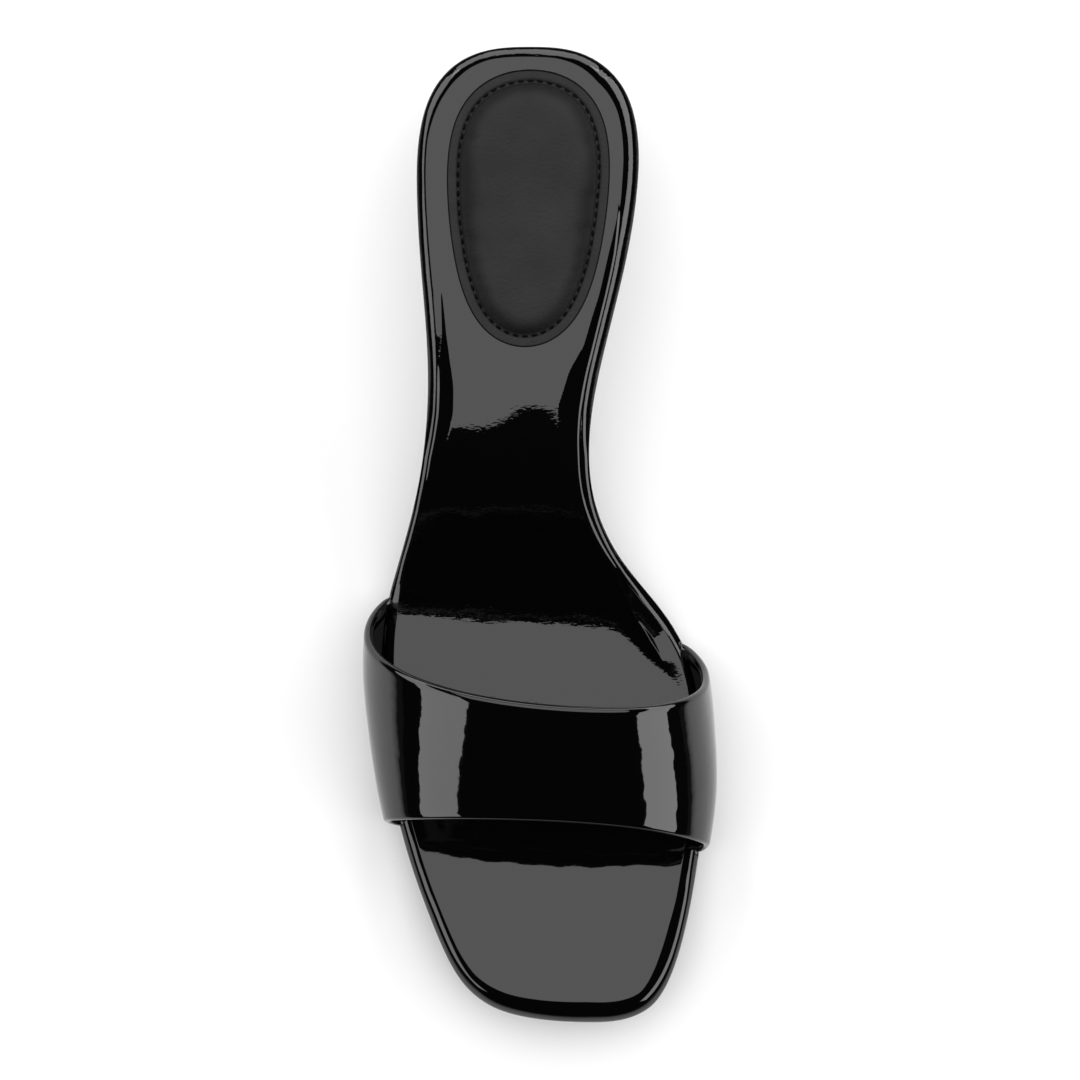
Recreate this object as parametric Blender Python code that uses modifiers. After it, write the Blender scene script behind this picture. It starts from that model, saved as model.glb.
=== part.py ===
"""A right heeled mule: a wrapped insole on a thin outsole and a covered heel, with one wide strap.

Metres, +Z up. X points to the inner (medial) side, Y to the heel, and the shoe stands on Z = 0.
"""

import bmesh
import bpy
import numpy as np


def table(columns, rows):
    """A table as one array for each named column."""
    return dict(zip(columns, np.array(rows).T))


# Driving sizes
LENGTH = 0.2384  # toe to heel, seen from above
GAP = 0.0003  # between pieces that touch on the real shoe
BREAST = 0.0525  # heel breast, measured from the back of the shoe

# Outline of the sole, seen from above: along is measured from the back of the heel, and the
# lateral and medial edges from the shoe's middle. The first and last rows are single points.
OUTLINE = table(
    ("along", "lateral", "medial"),
    [
        (0.0000, -0.0023, -0.0023),
        (0.0006, -0.0116, 0.0066),
        (0.0031, -0.0187, 0.0134),
        (0.0085, -0.0246, 0.0193),
        (0.0190, -0.0288, 0.0233),
        (0.0338, -0.0299, 0.0236),
        (BREAST, -0.0290, 0.0206),
        (0.0736, -0.0275, 0.0155),
        (0.0941, -0.0281, 0.0121),
        (0.1096, -0.0307, 0.0134),
        (0.1246, -0.0350, 0.0206),
        (0.1381, -0.0385, 0.0313),
        (0.1516, -0.0395, 0.0382),
        (0.1683, -0.0388, 0.0410),
        (0.1850, -0.0361, 0.0408),
        (0.1985, -0.0325, 0.0393),
        (0.2100, -0.0284, 0.0373),
        (0.2210, -0.0238, 0.0346),
        (0.2288, -0.0191, 0.0316),
        (0.2344, -0.0121, 0.0275),
        (0.2372, -0.0030, 0.0224),
        (LENGTH, 0.0116, 0.0116),
    ],
)
BREAST_ROW = int(np.searchsorted(OUTLINE["along"], BREAST))
LAST_ROW = len(OUTLINE["along"]) - 1

# Line of the sole, seen from the side: toe spring, tread, up the shank, nearly level at the seat
SHANK_SLOPE = 0.66
SHANK_START = -0.0134
SHANK_START_SOFT = 0.007
SEAT_SLOPE = 0.158
SEAT_START = 0.0190
SEAT_START_SOFT = 0.006
TOE_SLOPE = 0.19
TOE_START = -0.0610
TOE_SOFT = 0.0095
TREAD_WEAR = 0.0006  # how much the tread is ground flat

OUTSOLE_THICK = 0.0030
OUTSOLE_CORNER = 0.0006
INSOLE_THICK = 0.0050
INSOLE_INSET = 0.0004  # the insole stops this far inside the outsole
INSOLE_CORNER = 0.0010
INSOLE_ROUND_HEIGHT = 0.0034
INSOLE_ROUND = table(("row", "width"), [(3, 0.0032), (12, 0.0032), (20, 0.0050)])  # rounded edge
FLAT_INSET = 0.0070  # the flat middle of a layer's underside starts this far from its edge

# The strap follows the last: each section is a leaning oval, given by its widest points, how high
# they lie, the crown of its outer face, and how far that leans to the medial side.
STRAP_WALL = 0.0022
STRAP_SECTIONS = table(
    ("along", "lateral", "medial", "widest", "crown", "lean"),
    [
        (0.1326, -0.0424, 0.0345, 0.0215, 0.0628, 0.0072),
        (0.1506, -0.0437, 0.0413, 0.0182, 0.0549, 0.0062),
        (0.1656, -0.0425, 0.0432, 0.0158, 0.0478, 0.0048),
        (0.1806, -0.0403, 0.0437, 0.0140, 0.0412, 0.0030),
        (0.1976, -0.0366, 0.0415, 0.0132, 0.0338, 0.0010),
    ],
)
STRAP_FULL = 0.10  # how much squarer than an oval the section is

# Where the strap's rear and front edges run, by the turn round the section from the lateral side
STRAP_EDGES = table(
    ("turn", "rear", "front"),
    [
        (-25.0, 0.1316, 0.1911),
        (0.0, 0.1408, 0.1892),
        (30.0, 0.1496, 0.1882),
        (60.0, 0.1562, 0.1877),
        (90.0, 0.1596, 0.1882),
        (120.0, 0.1596, 0.1903),
        (150.0, 0.1564, 0.1932),
        (180.0, 0.1509, 0.1953),
        (205.0, 0.1436, 0.1980),
    ],
)
STRAP_FOOT_OUT = 0.0005  # its outer face leaves the sole this far outside the edge
STRAP_BEND = 0.0030  # how far above the outsole it starts to turn under
STRAP_TAB = 0.0095  # how far its ends reach under the insole
STRAP_EDGE_ROUND = 0.0008
RECESS_BELOW = 0.0010  # the insole's recess for the strap is cut from this far below it

PAD_MIDDLE = (-0.0030, 0.0804)
PAD_HALF_LENGTH = 0.0334
PAD_HALF_WIDTH = 0.01936
PAD_EGG = 0.16  # how much wider its back end is
PAD_SQUARE = 0.25  # how much fuller than an oval both ends are
PAD_LEAN = 0.0007  # the back end lies this far to the medial side
PAD_RIM = 0.0009
PAD_CROWN = 0.0019
PAD_DOME = 0.8  # power of its crown: lower is flatter on top
PAD_CORNER = 0.015  # share of its size taken by the rounded rim

TIP_HEIGHT = 0.0056
TIP_MIDDLE = (-0.0030, 0.0963)
TIP_HALF_LENGTH = 0.0105
TIP_HALF_WIDTH = 0.0110
TIP_EDGE = 0.0006
TIP_SQUARE = 2.6  # power of the rounded square that the heel ends in
HEEL_SWEEP_BACK = 1.35  # higher is more hollow
HEEL_SWEEP_SIDE = 2.10

# Steps of the meshes
STEPS_PER_ROW = 3
FILL_STEPS = 5
ROUND_STEPS = 5
STRAP_TURNS = 44
STRAP_STRIPS = 9
BEND_STEPS = 4
HEEL_STEPS = 12
BREAST_STEPS = 6
PAD_POINTS = 36
PAD_RINGS = 6
EDGE_SAMPLES = 400
SETTLE_STEPS = 6  # rounds of finding where the strap's slanting edges meet the sole

FINISHES = {
    "black patent leather": {"colour": (0.004, 0.004, 0.004, 1.0), "roughness": 0.06},
    "matte black leather": {"colour": (0.030, 0.030, 0.031, 1.0), "roughness": 0.6},
    "black sole leather": {"colour": (0.012, 0.012, 0.012, 1.0), "roughness": 0.4},
    "black rubber": {"colour": (0.016, 0.016, 0.016, 1.0), "roughness": 0.7},
}
SHARP_ANGLE = 40.0  # edges that turn more than this stay sharp
SAME_POINT = 1e-6  # points closer than this are one


def spline(knots, values, closed=False):
    """A curve through the values, cubic between knots, with even slope and bend. Returns (place, slope)."""
    gap = np.diff(knots)
    rise = np.diff(values, axis=0) / gap[:, None]
    count = len(knots)
    system = np.eye(count)
    pull = np.zeros_like(values)
    for row in range(1, count - 1):
        system[row, row - 1 : row + 2] = gap[row - 1], 2 * (gap[row - 1] + gap[row]), gap[row]
        pull[row] = 6 * (rise[row] - rise[row - 1])
    if closed:
        system[0, -1] = -1
        system[-1, [0, 1, -2, -1]] = 2 * gap[0], gap[0], gap[-1], 2 * gap[-1]
        pull[-1] = 6 * (rise[0] - rise[-1])
    bend = np.linalg.solve(system, pull)

    def at(where):
        where = np.asarray(where, float)
        span = np.clip(np.searchsorted(knots, where, side="right") - 1, 0, count - 2)
        step = (where - knots[span])[..., None]
        wide = gap[span][..., None]
        twist = (bend[span + 1] - bend[span]) / wide
        first = rise[span] - wide * (2 * bend[span] + bend[span + 1]) / 6
        place = values[span] + step * (first + step * (bend[span] / 2 + step * twist / 6))
        return place, first + step * (bend[span] + step * twist / 2)

    return at


def outline_curve():
    """The closed outline: down the lateral rows to the toe and back up the medial ones."""
    y = LENGTH / 2 - OUTLINE["along"]
    lateral = np.stack([OUTLINE["lateral"], y], axis=1)
    medial = np.stack([OUTLINE["medial"], y], axis=1)
    points = np.concatenate([lateral, medial[-2::-1]])
    knots = np.concatenate([[0], np.cumsum(np.linalg.norm(np.diff(points, axis=0), axis=1))])
    return knots, spline(knots, points, closed=True)


OUTLINE_KNOTS, OUTLINE_AT = outline_curve()


def edge(rows, medial, inset):
    """Points of the outline at these rows, which may lie between rows, moved inwards by inset."""
    index = 2 * LAST_ROW - rows if medial else rows
    place, slope = OUTLINE_AT(np.interp(index, np.arange(len(OUTLINE_KNOTS)), OUTLINE_KNOTS))
    inward = np.stack([-slope[..., 1], slope[..., 0]], axis=-1)
    inward /= np.linalg.norm(inward, axis=-1, keepdims=True)
    return place + inward * np.asarray(inset)[..., None]


def soft_ramp(distance, soft):
    """Zero before the start and a straight ramp after it, with a soft bend between."""
    return soft * np.logaddexp(0, distance / soft)


def sole_line(y):
    """Height of the outsole's underside along the shoe, before the tread is ground flat."""
    shank = SHANK_SLOPE * soft_ramp(y - SHANK_START, SHANK_START_SOFT)
    seat = (SHANK_SLOPE - SEAT_SLOPE) * soft_ramp(y - SEAT_START, SEAT_START_SOFT)
    return shank - seat + TOE_SLOPE * soft_ramp(TOE_START - y, TOE_SOFT)


def outsole_under(y):
    return np.maximum(sole_line(y) - TREAD_WEAR, 0)


def outsole_over(y):
    return sole_line(y) + OUTSOLE_THICK


def insole_under(y):
    return outsole_over(y) + GAP


def insole_over(y):
    return insole_under(y) + INSOLE_THICK


def lofted(name, sections, capped=False):
    """A mesh through closed sections of equal count, with points that coincide made one."""
    count, around = sections.shape[:2]
    index = np.arange(count * around).reshape(count, around)
    onward = np.roll(index, -1, axis=1)
    quads = np.stack([index[:-1], index[1:], onward[1:], onward[:-1]], axis=-1).reshape(-1, 4)
    faces = quads.tolist()
    if capped:
        faces += [index[0].tolist(), index[-1][::-1].tolist()]
    return mesh_of(name, sections.reshape(-1, 3), faces)


def mesh_of(name, points, faces):
    mesh = bpy.data.meshes.new(name)
    mesh.from_pydata(points.tolist(), [], faces)
    shape = bmesh.new()
    shape.from_mesh(mesh)
    bmesh.ops.remove_doubles(shape, verts=shape.verts, dist=SAME_POINT)
    bmesh.ops.recalc_face_normals(shape, faces=shape.faces)
    shape.to_mesh(mesh)
    shape.free()
    return mesh


def layer_sections(rows, inset, lift, under, over):
    """Sections across a sole layer: up one edge, over the top, down the other edge and back below.

    inset and lift have a row for each section and a column for each point of the edge, from the
    underside to the top. lift is 0 at the underside and 1 at the top.
    """
    spread = np.broadcast_to(rows[:, None], inset.shape)
    sides = [edge(spread, medial, inset) for medial in (False, True)]
    across = np.linspace(0, 1, FILL_STEPS + 1)[None, 1:-1, None]
    top = sides[0][:, -1:] * (1 - across) + sides[1][:, -1:] * across
    bottom = sides[1][:, :1] * (1 - across) + sides[0][:, :1] * across
    plan = np.concatenate([sides[0], top, sides[1][:, ::-1], bottom], axis=1)
    share = np.concatenate(
        [lift, np.ones(top.shape[:2]), lift[:, ::-1], np.zeros(bottom.shape[:2])], axis=1
    )
    low = under(plan[..., 1])
    height = low + (over(plan[..., 1]) - low) * share
    return np.concatenate([plan, height[..., None]], axis=-1)


def outsole_mesh():
    """The thin sole from the toe to the heel breast, with softened corners and a square end."""
    rows = np.arange(BREAST_ROW * STEPS_PER_ROW, LAST_ROW * STEPS_PER_ROW + 1) / STEPS_PER_ROW
    corner = OUTSOLE_CORNER / OUTSOLE_THICK
    inset = np.array([FLAT_INSET, OUTSOLE_CORNER, 0, 0, OUTSOLE_CORNER, FLAT_INSET])
    lift = np.array([0, 0, corner, 1 - corner, 1, 1])
    shape = (len(rows), len(inset))
    sections = layer_sections(
        rows, np.broadcast_to(inset, shape), np.broadcast_to(lift, shape), outsole_under, outsole_over
    )
    end = sections[0]
    square = LENGTH / 2 - BREAST - GAP / 2
    end[:, 2] += sole_line(square) - sole_line(end[:, 1])
    end[:, 1] = square
    return lofted("outsole", sections, capped=True)


def insole_edge(rows):
    """Inset and lift of the insole's edge: a small lower corner and a wide oval rounding above."""
    width = np.interp(rows, INSOLE_ROUND["row"], INSOLE_ROUND["width"])[:, None]
    turn = np.linspace(0, np.pi / 2, ROUND_STEPS + 1)
    foot = 1 - INSOLE_ROUND_HEIGHT / INSOLE_THICK
    inset = np.concatenate(
        [
            np.broadcast_to([FLAT_INSET, INSOLE_CORNER, INSOLE_CORNER / 3], (len(rows), 3)),
            width * (1 - np.cos(turn)),
        ],
        axis=1,
    )
    lift = np.concatenate([[0, 0, foot / 3], foot + (1 - foot) * np.sin(turn)])
    return inset + INSOLE_INSET, np.broadcast_to(lift, inset.shape)


def insole_mesh():
    rows = np.arange(0, LAST_ROW * STEPS_PER_ROW + 1) / STEPS_PER_ROW
    inset, lift = insole_edge(rows)
    return lofted("insole", layer_sections(rows, inset, lift, insole_under, insole_over))


def columns_curve(rows, key, *names):
    """A smooth curve through some columns of a table, followed along its key column."""
    at = spline(key, np.stack([rows[name] for name in names], axis=1))
    return lambda where: np.moveaxis(at(where)[0], -1, 0)


STRAP_SECTION_AT = columns_curve(
    STRAP_SECTIONS, STRAP_SECTIONS["along"], "lateral", "medial", "widest", "crown", "lean"
)
STRAP_EDGE_AT = columns_curve(STRAP_EDGES, np.radians(STRAP_EDGES["turn"]), "rear", "front")


def sole_edge_x(y, medial):
    """Sideways place of the sole's edge at a place along the shoe."""
    rows = np.linspace(BREAST_ROW, LAST_ROW, EDGE_SAMPLES)
    points = edge(rows, medial, np.zeros_like(rows))
    return np.interp(-y, -points[:, 1], points[:, 0])


def strap_point(turn, y):
    """Outer face of the strap: an oval, fuller at its shoulders, whose foot meets the sole's edge."""
    lateral, medial, widest, crown, lean = STRAP_SECTION_AT(LENGTH / 2 - y)
    middle = (lateral + medial) / 2
    half = (medial - lateral) / 2
    rise = crown - widest
    x = middle - half * np.cos(turn) * (1 + STRAP_FULL * np.sin(turn) ** 2)
    x = x + lean * np.sin(turn) ** 2
    foot_turn = np.arcsin((widest - insole_under(y)) / rise)
    tuck = (1 - np.abs(np.cos(turn))) / (1 - np.cos(foot_turn))
    low_lateral = lateral + (sole_edge_x(y, False) - STRAP_FOOT_OUT - lateral) * tuck
    low_medial = medial + (sole_edge_x(y, True) + STRAP_FOOT_OUT - medial) * tuck
    x = np.where(turn < 0, low_lateral, np.where(turn > np.pi, low_medial, x))
    return np.stack([x, y, widest + rise * np.sin(turn)], axis=-1)


def foot_turn_at(y, medial):
    """Turn at which the strap's outer face is STRAP_BEND above the outsole."""
    widest, crown = STRAP_SECTION_AT(LENGTH / 2 - y)[2:4]
    below = np.arcsin((widest - insole_under(y) - STRAP_BEND) / (crown - widest))
    return np.pi + below if medial else -below


def strap_grid(widen=0.0):
    """Outer face of the strap, from the end of one tab round the arch to the end of the other."""
    across = np.linspace(0, 1, STRAP_STRIPS + 1)

    def along_strap(turn):
        rear, front = STRAP_EDGE_AT(turn)
        return LENGTH / 2 - (rear - widen + (front - rear + 2 * widen) * across)

    starts = []
    for medial in (False, True):
        turn = np.full_like(across, np.pi if medial else 0.0)
        for _ in range(SETTLE_STEPS):
            turn = foot_turn_at(along_strap(turn), medial)
        starts.append(turn)
    share = np.linspace(0, 1, STRAP_TURNS + 1)[:, None]
    turns = starts[0] + (starts[1] - starts[0]) * share
    arch = strap_point(turns, along_strap(turns))

    feet = []
    for medial, inward in ((False, 1.0), (True, -1.0)):
        top = arch[-1 if medial else 0]
        fall = top - arch[-2 if medial else 1]
        low = insole_under(top[:, 1])
        corner = top + fall * ((low - top[:, 2]) / fall[:, 2])[:, None]
        corner[:, 2] = insole_under(corner[:, 1])
        turned = corner + np.array([inward * STRAP_BEND, 0, 0])
        end = corner + np.array([inward * (STRAP_TAB + widen), 0, 0])
        bend = np.linspace(0, 1, BEND_STEPS + 1)[1:, None, None]
        curve = top * (1 - bend) ** 2 + corner * 2 * bend * (1 - bend) + turned * bend**2
        feet.append(np.concatenate([curve, [(turned + end) / 2, end]]))
    return np.concatenate([feet[0][::-1], arch, feet[1]])


def strap_mesh(name, widen=0.0):
    """The strap's outer face as an open sheet, facing outwards."""
    grid = strap_grid(widen)
    count, wide = grid.shape[:2]
    index = np.arange(count * wide).reshape(count, wide)
    quads = np.stack([index[:-1, :-1], index[:-1, 1:], index[1:, 1:], index[1:, :-1]], axis=-1)
    mesh = bpy.data.meshes.new(name)
    mesh.from_pydata(grid.reshape(-1, 3).tolist(), [], quads.reshape(-1, 4).tolist())
    return mesh


def egg(turn):
    """Outline of the heel pad about its middle: an oval with full ends, wider at the back."""
    back = np.cos(turn)
    x = PAD_HALF_WIDTH * np.sin(turn) * (1 + PAD_EGG * back + PAD_SQUARE * back**2)
    return np.stack([x + PAD_LEAN * back, PAD_HALF_LENGTH * back], axis=-1)


def pad_mesh():
    """A thin crowned pad lying on the heel seat: rings from its middle below to its middle above."""
    turn = np.linspace(0, 2 * np.pi, PAD_POINTS, endpoint=False)
    inner = np.linspace(1, 0, PAD_RINGS + 1)[1:]
    rim = 1 - PAD_CORNER
    reach = np.concatenate([[0, rim / 2, rim, 1, rim], (2 * rim - 1) * inner])
    crown = PAD_RIM + PAD_CROWN * (1 - inner**2) ** PAD_DOME
    lift = np.concatenate([[0, 0, 0, PAD_RIM / 2, PAD_RIM], crown])
    plan = np.array(PAD_MIDDLE) + egg(turn)[None] * reach[:, None, None]
    height = insole_over(plan[..., 1]) + GAP + lift[:, None]
    return lofted("heel_pad", np.concatenate([plan, height[..., None]], axis=-1))


def heel_ring():
    """Plan of the heel seat, and the line down its middle that closes it.

    The ring runs along the lateral edge to the back, up the medial edge, and along the breast.
    """
    rows = np.arange(BREAST_ROW * STEPS_PER_ROW, -1, -1) / STEPS_PER_ROW
    zero = np.zeros_like(rows)
    lateral = edge(rows, False, zero)
    medial = edge(rows, True, zero)
    middle = (lateral + medial) / 2
    across = np.linspace(0, 1, BREAST_STEPS + 1)[1:-1, None]
    breast = medial[0] * (1 - across) + lateral[0] * across
    ring = np.concatenate([lateral, medial[-2::-1], breast])
    spine = np.concatenate([middle, middle[-2::-1], np.broadcast_to(middle[0], breast.shape)])
    limit = LENGTH / 2 - BREAST + GAP / 2
    ring[:, 1] = np.maximum(ring[:, 1], limit)
    spine[:, 1] = np.maximum(spine[:, 1], limit)
    return ring, spine


def tip_ring(ring, inset=0.0):
    """The heel's lower end: a rounded square, its points facing those of the seat."""
    away = (ring - np.array(TIP_MIDDLE)) / np.array([TIP_HALF_WIDTH, TIP_HALF_LENGTH])
    away /= np.linalg.norm(away, axis=1, keepdims=True)
    size = (np.abs(away) ** TIP_SQUARE).sum(axis=1) ** (-1 / TIP_SQUARE)
    half = np.array([TIP_HALF_WIDTH, TIP_HALF_LENGTH]) - inset
    return np.array(TIP_MIDDLE) + away * size[:, None] * half


def heel_mesh():
    """The covered heel: rings that sweep in from the seat to the tip, closed at both ends."""
    seat, spine = heel_ring()
    foot = tip_ring(seat)
    back = np.clip((foot[:, 1] - TIP_MIDDLE[1]) / TIP_HALF_LENGTH, 0, 1)
    sweep = HEEL_SWEEP_SIDE + (HEEL_SWEEP_BACK - HEEL_SWEEP_SIDE) * back
    down = np.linspace(0, 1, HEEL_STEPS + 1)[:, None]
    share = (1 - down) ** sweep
    plan = foot + (seat - foot) * share[..., None]
    top = outsole_over(seat[:, 1])
    low = TIP_HEIGHT + GAP
    height = top + (low - top) * down
    rings = np.concatenate([plan, height[..., None]], axis=-1)
    lid = np.concatenate([spine, outsole_over(spine[:, 1:])], axis=1)
    floor = np.array([*TIP_MIDDLE, low]) * np.ones((len(seat), 1))
    return lofted("heel", np.concatenate([[lid], rings, [floor]]))


def tip_mesh():
    """The top piece that the heel stands on, with a softened lower edge."""
    seat = heel_ring()[0]
    rings = []
    for inset, height in ((TIP_EDGE, 0), (0, TIP_EDGE), (0, TIP_HEIGHT)):
        plan = tip_ring(seat, inset)
        rings.append(np.concatenate([plan, np.full((len(plan), 1), height)], axis=1))
    middle = np.array([*TIP_MIDDLE, 0]) * np.ones((len(seat), 1))
    lid = middle + np.array([0, 0, TIP_HEIGHT])
    return lofted("heel_tip", np.stack([middle, *rings, lid]))


def finish(name, colour, roughness):
    """A plain material of this colour."""
    material = bpy.data.materials.new(name)
    material.use_nodes = True
    shader = material.node_tree.nodes["Principled BSDF"]
    shader.inputs["Base Color"].default_value = colour
    shader.inputs["Roughness"].default_value = roughness
    shader.inputs["Metallic"].default_value = 0.0
    material.diffuse_color = colour
    return material


def place(mesh, collection, material):
    """The mesh as an object of its own, shaded smooth between its sharp edges."""
    thing = bpy.data.objects.new(mesh.name, mesh)
    collection.objects.link(thing)
    mesh.shade_smooth()
    mesh.set_sharp_from_angle(angle=np.radians(SHARP_ANGLE))
    mesh.materials.append(material)
    return thing


def add_wall(thing, inwards, outwards):
    """Gives an open sheet a wall that reaches this far to either side of it."""
    wall = thing.modifiers.new("wall", "SOLIDIFY")
    wall.thickness = inwards + outwards
    wall.offset = -1 + 2 * outwards / wall.thickness
    wall.use_even_offset = True


def main():
    for thing in list(bpy.data.objects):
        bpy.data.objects.remove(thing, do_unlink=True)
    mule = bpy.data.collections.new("heeled_mule")
    cutters = bpy.data.collections.new("cutters")
    cutters.hide_render = True
    for collection in (mule, cutters):
        bpy.context.scene.collection.children.link(collection)

    patent, sock, sole, rubber = (finish(name, **look) for name, look in FINISHES.items())

    place(outsole_mesh(), mule, sole)
    insole = place(insole_mesh(), mule, patent)
    upper = place(strap_mesh("upper"), mule, patent)
    add_wall(upper, STRAP_WALL, 0.0)
    rounding = upper.modifiers.new("rolled edge", "BEVEL")
    rounding.width = STRAP_EDGE_ROUND
    rounding.segments = 2
    rounding.limit_method = "ANGLE"
    rounding.angle_limit = np.radians(SHARP_ANGLE)
    place(pad_mesh(), mule, sock)
    place(heel_mesh(), mule, patent)
    place(tip_mesh(), mule, rubber)

    recess = place(strap_mesh("strap_recess", widen=GAP), cutters, patent)
    add_wall(recess, STRAP_WALL + GAP, RECESS_BELOW)
    recess.hide_render = True
    recess.display_type = "WIRE"
    cut = insole.modifiers.new("strap recess", "BOOLEAN")
    cut.operation = "DIFFERENCE"
    cut.object = recess


main()
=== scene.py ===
import bmesh
import bpy
import numpy as np
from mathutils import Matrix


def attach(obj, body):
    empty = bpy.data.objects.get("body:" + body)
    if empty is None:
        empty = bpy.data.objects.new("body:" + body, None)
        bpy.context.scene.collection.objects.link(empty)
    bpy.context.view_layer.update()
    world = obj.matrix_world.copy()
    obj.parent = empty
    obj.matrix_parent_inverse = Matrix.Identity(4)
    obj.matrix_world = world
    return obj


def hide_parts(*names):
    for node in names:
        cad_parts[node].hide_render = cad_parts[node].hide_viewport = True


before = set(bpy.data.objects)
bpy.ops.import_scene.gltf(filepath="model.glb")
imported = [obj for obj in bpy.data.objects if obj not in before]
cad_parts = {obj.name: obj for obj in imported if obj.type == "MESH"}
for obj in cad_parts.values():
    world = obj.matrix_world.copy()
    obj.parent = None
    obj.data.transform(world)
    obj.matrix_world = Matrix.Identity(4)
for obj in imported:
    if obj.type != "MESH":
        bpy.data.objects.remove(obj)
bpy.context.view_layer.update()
print("frame:", ", ".join(sorted(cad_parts)))


# Rows of numbers to one array for each named column
def columns(names, rows):
    return dict(zip(names.split(), np.array(rows).T))


# Sizes in metres, as the solids have them: X to the inner side of the foot, Y to the heel, floor at 0
shoe = {
    "length": 0.2384,
    "gap": 0.0003,  # between pieces that touch
    "breast": 0.0525,  # front of the heel, from the back of the shoe
    "shankSlope": 0.66, "shankStart": -0.0134, "shankSoft": 0.007,
    "seatSlope": 0.158, "seatStart": 0.0190, "seatSoft": 0.006,
    "toeSlope": 0.19, "toeStart": -0.0610, "toeSoft": 0.0095,
}
# Edge of the sole from above, from the back of the heel to the toe
outline = columns("along lateral medial", [
    (0.0000, -0.0023, -0.0023),
    (0.0006, -0.0116, 0.0066),
    (0.0031, -0.0187, 0.0134),
    (0.0085, -0.0246, 0.0193),
    (0.0190, -0.0288, 0.0233),
    (0.0338, -0.0299, 0.0236),
    (shoe["breast"], -0.0290, 0.0206),
    (0.0736, -0.0275, 0.0155),
    (0.0941, -0.0281, 0.0121),
    (0.1096, -0.0307, 0.0134),
    (0.1246, -0.0350, 0.0206),
    (0.1381, -0.0385, 0.0313),
    (0.1516, -0.0395, 0.0382),
    (0.1683, -0.0388, 0.0410),
    (0.1850, -0.0361, 0.0408),
    (0.1985, -0.0325, 0.0393),
    (0.2100, -0.0284, 0.0373),
    (0.2210, -0.0238, 0.0346),
    (0.2288, -0.0191, 0.0316),
    (0.2344, -0.0121, 0.0275),
    (0.2372, -0.0030, 0.0224),
    (shoe["length"], 0.0116, 0.0116),
])
lastRow = len(outline["along"]) - 1
breastRow = int(np.searchsorted(outline["along"], shoe["breast"]))


# Cubic curve through values: the bends at the knots solve one equation a knot, so that place, slope and
# bend all run on evenly from span to span. Gives place and slope.
def curveThrough(knots, values, closed=False):
    gap = np.diff(knots)
    rise = np.diff(values, axis=0) / gap[:, None]
    count = len(knots)
    inner = np.arange(1, count - 1)
    system = np.eye(count)
    system[inner, inner - 1] = gap[:-1]
    system[inner, inner] = 2 * (gap[:-1] + gap[1:])
    system[inner, inner + 1] = gap[1:]
    pull = np.zeros_like(values)
    pull[inner] = 6 * np.diff(rise, axis=0)
    if closed:
        system[0, -1] = -1
        system[-1, [0, 1, -2, -1]] = 2 * gap[0], gap[0], gap[-1], 2 * gap[-1]
        pull[-1] = 6 * (rise[0] - rise[-1])
    bend = np.linalg.solve(system, pull)

    def at(where):
        where = np.asarray(where, float)
        span = np.clip(np.searchsorted(knots, where, side="right") - 1, 0, count - 2)
        step = (where - knots[span])[..., None]
        wide = gap[span][..., None]
        twist = (bend[span + 1] - bend[span]) / wide
        first = rise[span] - wide * (2 * bend[span] + bend[span + 1]) / 6
        place = values[span] + step * (first + step * (bend[span] / 2 + step * twist / 6))
        return place, first + step * (bend[span] + step * twist / 2)

    return at


# The closed edge of the sole: down the lateral rows to the toe and back up the medial ones
edgeY = shoe["length"] / 2 - outline["along"]
edgeRows = np.concatenate([
    np.stack([outline["lateral"], edgeY], axis=1),
    np.stack([outline["medial"], edgeY], axis=1)[-2::-1],
])
edgeKnots = np.concatenate([[0], np.cumsum(np.linalg.norm(np.diff(edgeRows, axis=0), axis=1))])
edgeCurve = curveThrough(edgeKnots, edgeRows, closed=True)


# Point of the edge at a row, counted on past the toe for the medial side, moved inwards square to the edge
def edgeAt(row, inset=0.0):
    place, slope = edgeCurve(np.interp(row, np.arange(len(edgeKnots)), edgeKnots))
    inward = np.stack([-slope[..., 1], slope[..., 0]], axis=-1)
    inward /= np.linalg.norm(inward, axis=-1, keepdims=True)
    return place + inward * np.asarray(inset)[..., None]


# Rows at even steps along the edge, taking both its sides together and measuring at finer steps
def evenRows(first, last, count, finer=40):
    fine = np.linspace(first, last, finer * (count + 1))
    step = [np.linalg.norm(np.diff(edgeAt(rows), axis=0), axis=1) for rows in (fine, 2 * lastRow - fine)]
    way = np.concatenate([[0], np.cumsum(sum(step))])
    return np.interp(np.linspace(0, way[-1], count + 1), way, fine)


# Zero before the start and a straight ramp after it, with a soft bend between: soft * log(1 + e^(d / soft))
def softRamp(distance, soft):
    return soft * np.logaddexp(0, distance / soft)


# 0 below and 1 above, turning smoothly over the width: 3t^2 - 2t^3
def softStep(distance, width):
    share = np.clip(distance / width + 0.5, 0, 1)
    return share * share * (3 - 2 * share)


# Height of the sole's underside: flat tread, ramp of the shank, gentler ramp of the seat, toe spring
def soleLine(y):
    shank = shoe["shankSlope"] * softRamp(y - shoe["shankStart"], shoe["shankSoft"])
    seat = (shoe["shankSlope"] - shoe["seatSlope"]) * softRamp(y - shoe["seatStart"], shoe["seatSoft"])
    return shank - seat + shoe["toeSlope"] * softRamp(shoe["toeStart"] - y, shoe["toeSoft"])


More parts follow.
